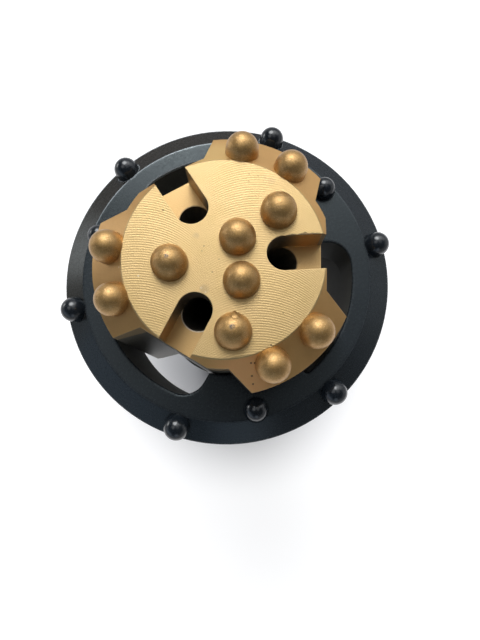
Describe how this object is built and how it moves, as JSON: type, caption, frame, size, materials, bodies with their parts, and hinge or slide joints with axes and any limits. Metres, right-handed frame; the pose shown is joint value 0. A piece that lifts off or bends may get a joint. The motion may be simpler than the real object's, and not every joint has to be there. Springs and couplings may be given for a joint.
{
  "type": "casing ring bit",
  "caption": "Casing ring bit with through pockets and domed buttons, locked by a bayonet on a winged pilot bit with flushing slots and a splined hammer shank.",
  "frame": {"origin": "on the common axis at the end of the shank, which the set stands on", "axes": "+Z along the axis in the drilling direction, +X through the middle of the first flushing slot"},
  "size_m": [0.1526, 0.152, 0.2817],
  "materials": {
    "pilot_paint": "satin gold paint over turned and milled steel",
    "shank_steel": "turned and oiled steel, dark",
    "pilot_button": "gold paint over smooth carbide domes",
    "ring_black": "satin black over turned steel",
    "ring_button": "gloss black over smooth carbide domes"
  },
  "bodies": {
    "pilot": {"pilot_body": "pilot_paint", "pilot_shank": "shank_steel", "pilot_face_button_1": "pilot_button", "pilot_face_button_2": "pilot_button", "pilot_face_button_3": "pilot_button", "pilot_face_button_4": "pilot_button", "pilot_face_button_5": "pilot_button", "pilot_wing_button_1": "pilot_button", "pilot_wing_button_2": "pilot_button", "pilot_wing_button_3": "pilot_button", "pilot_wing_button_4": "pilot_button", "pilot_wing_button_5": "pilot_button", "pilot_wing_button_6": "pilot_button"},
    "ring": {"ring_body": "ring_black", "ring_bevel_button_1": "ring_button", "ring_bevel_button_2": "ring_button", "ring_bevel_button_3": "ring_button", "ring_bevel_button_4": "ring_button", "ring_bevel_button_5": "ring_button", "ring_bevel_button_6": "ring_button", "ring_lug_button_1": "ring_button", "ring_lug_button_2": "ring_button", "ring_lug_button_3": "ring_button"}
  },
  "joints": [
    {"name": "ring_turn", "type": "hinge", "parent": "pilot", "child": "ring", "pos_m": [0, 0, 0.23], "axis": [0, 0, 1], "range_deg": [-39, 0]}
  ]
}
